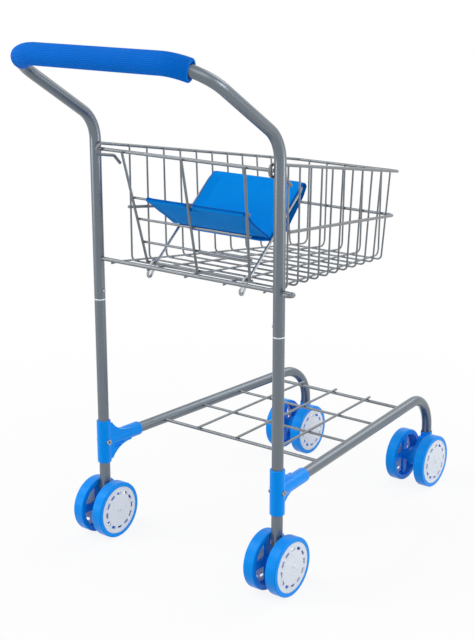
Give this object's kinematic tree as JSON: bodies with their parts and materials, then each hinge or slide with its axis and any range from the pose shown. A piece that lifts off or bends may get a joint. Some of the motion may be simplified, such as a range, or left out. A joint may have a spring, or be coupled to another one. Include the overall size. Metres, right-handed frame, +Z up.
{
  "type": "shopping trolley on wheels",
  "caption": "Toy shopping trolley: bent tube frame, tapered wire basket, rear gate with a folding fabric doll seat, wire shelf, fixed twin rear wheels and swivelling twin front casters.",
  "frame": {"origin": "on the floor, at the centre of the footprint: midway between the left and right hub caps, and midway between the back of the push bar's grip and the front of the front tyres", "axes": "+X to the right of the child who pushes it, +Y the way it is pushed, +Z up"},
  "size_m": [0.2946, 0.533, 0.5871],
  "materials": {
    "tube_paint": "silver-grey powder coat, satin",
    "wire_paint": "silver-grey powder coat on welded wire, satin",
    "plated_steel": "zinc-plated steel",
    "blue_plastic": "moulded blue plastic, glossy",
    "white_plastic": "moulded white plastic, glossy",
    "grey_plastic": "moulded grey plastic, matt",
    "grip_foam": "blue foam rubber, finely ribbed, matt",
    "seat_fabric": "blue woven nylon, slightly shiny"
  },
  "bodies": {
    "frame": {"handle_frame": "tube_paint", "handle_grip": "grip_foam", "bracket_rivets": "plated_steel", "shelf_cross_wires": "wire_paint", "shelf_long_wires": "wire_paint", "basket_top_rim": "wire_paint", "basket_mid_rail": "wire_paint", "basket_cross_wires": "wire_paint", "basket_long_wires": "wire_paint", "rear_push_nuts": "plated_steel", "leg_tube_left": "tube_paint", "leg_plug_left": "grey_plastic", "leg_bracket_left": "blue_plastic", "snap_clip_left": "plated_steel", "side_rail_left": "tube_paint", "rear_axle_left": "plated_steel", "stem_bush_left": "blue_plastic", "leg_tube_right": "tube_paint", "leg_plug_right": "grey_plastic", "leg_bracket_right": "blue_plastic", "snap_clip_right": "plated_steel", "side_rail_right": "tube_paint", "rear_axle_right": "plated_steel", "stem_bush_right": "blue_plastic"},
    "gate": {"gate_panel": "wire_paint"},
    "seat": {"seat_frame": "plated_steel", "seat_back_panel": "seat_fabric", "seat_sling": "seat_fabric"},
    "lock_rod": {"lock_rod": "wire_paint"},
    "snap_button_left": {"snap_button_left": "plated_steel"},
    "caster_left": {"caster_housing_left": "blue_plastic", "caster_stem_left": "plated_steel", "caster_axle_left": "plated_steel", "caster_push_nuts_left": "plated_steel"},
    "wheel_rear_left_outer": {"wheel_rear_left_outer": "blue_plastic", "hub_cap_rear_left_outer": "white_plastic"},
    "wheel_rear_left_inner": {"wheel_rear_left_inner": "blue_plastic", "hub_cap_rear_left_inner": "white_plastic"},
    "wheel_front_left_outer": {"wheel_front_left_outer": "blue_plastic", "hub_cap_front_left_outer": "white_plastic"},
    "wheel_front_left_inner": {"wheel_front_left_inner": "blue_plastic", "hub_cap_front_left_inner": "white_plastic"},
    "snap_button_right": {"snap_button_right": "plated_steel"},
    "caster_right": {"caster_housing_right": "blue_plastic", "caster_stem_right": "plated_steel", "caster_axle_right": "plated_steel", "caster_push_nuts_right": "plated_steel"},
    "wheel_rear_right_outer": {"wheel_rear_right_outer": "blue_plastic", "hub_cap_rear_right_outer": "white_plastic"},
    "wheel_rear_right_inner": {"wheel_rear_right_inner": "blue_plastic", "hub_cap_rear_right_inner": "white_plastic"},
    "wheel_front_right_outer": {"wheel_front_right_outer": "blue_plastic", "hub_cap_front_right_outer": "white_plastic"},
    "wheel_front_right_inner": {"wheel_front_right_inner": "blue_plastic", "hub_cap_front_right_inner": "white_plastic"}
  },
  "joints": [
    {"name": "gate_swing", "type": "hinge", "parent": "frame", "child": "gate", "pos_m": [0, -0.124, 0.4618], "axis": [1, 0, 0], "range_deg": [0, 1]},
    {"name": "seat_fold", "type": "hinge", "parent": "gate", "child": "seat", "pos_m": [0, -0.09897, 0.33574], "axis": [1, 0, 0], "range_deg": [0, 60], "deforming": ["seat_sling"]},
    {"name": "lock_rod_slide", "type": "slide", "parent": "frame", "child": "lock_rod", "axis": [1, 0, 0], "range_m": [0, 0.24]},
    {"name": "snap_press_left", "type": "slide", "parent": "frame", "child": "snap_button_left", "axis": [-1, 0, 0], "range_m": [0, 0.0033], "stiffness_N_per_m": 400, "deforming": ["snap_clip_left"]},
    {"name": "caster_swivel_left", "type": "hinge", "parent": "frame", "child": "caster_left", "pos_m": [-0.0955, 0.257, 0.0593], "axis": [0, 0, 1], "continuous": true},
    {"name": "wheel_rear_left_outer_spin", "type": "hinge", "parent": "frame", "child": "wheel_rear_left_outer", "pos_m": [-0.1245, -0.124, 0.0335], "axis": [1, 0, 0], "continuous": true},
    {"name": "wheel_rear_left_inner_spin", "type": "hinge", "parent": "frame", "child": "wheel_rear_left_inner", "pos_m": [-0.1245, -0.124, 0.0335], "axis": [1, 0, 0], "continuous": true},
    {"name": "wheel_front_left_outer_spin", "type": "hinge", "parent": "caster_left", "child": "wheel_front_left_outer", "pos_m": [-0.0955, 0.233, 0.0335], "axis": [1, 0, 0], "continuous": true},
    {"name": "wheel_front_left_inner_spin", "type": "hinge", "parent": "caster_left", "child": "wheel_front_left_inner", "pos_m": [-0.0955, 0.233, 0.0335], "axis": [1, 0, 0], "continuous": true},
    {"name": "snap_press_right", "type": "slide", "parent": "frame", "child": "snap_button_right", "axis": [1, 0, 0], "range_m": [0, 0.0033], "stiffness_N_per_m": 400, "deforming": ["snap_clip_right"]},
    {"name": "caster_swivel_right", "type": "hinge", "parent": "frame", "child": "caster_right", "pos_m": [0.0955, 0.257, 0.0593], "axis": [0, 0, 1], "continuous": true},
    {"name": "wheel_rear_right_outer_spin", "type": "hinge", "parent": "frame", "child": "wheel_rear_right_outer", "pos_m": [0.1245, -0.124, 0.0335], "axis": [1, 0, 0], "continuous": true},
    {"name": "wheel_rear_right_inner_spin", "type": "hinge", "parent": "frame", "child": "wheel_rear_right_inner", "pos_m": [0.1245, -0.124, 0.0335], "axis": [1, 0, 0], "continuous": true},
    {"name": "wheel_front_right_outer_spin", "type": "hinge", "parent": "caster_right", "child": "wheel_front_right_outer", "pos_m": [0.0955, 0.233, 0.0335], "axis": [1, 0, 0], "continuous": true},
    {"name": "wheel_front_right_inner_spin", "type": "hinge", "parent": "caster_right", "child": "wheel_front_right_inner", "pos_m": [0.0955, 0.233, 0.0335], "axis": [1, 0, 0], "continuous": true}
  ]
}
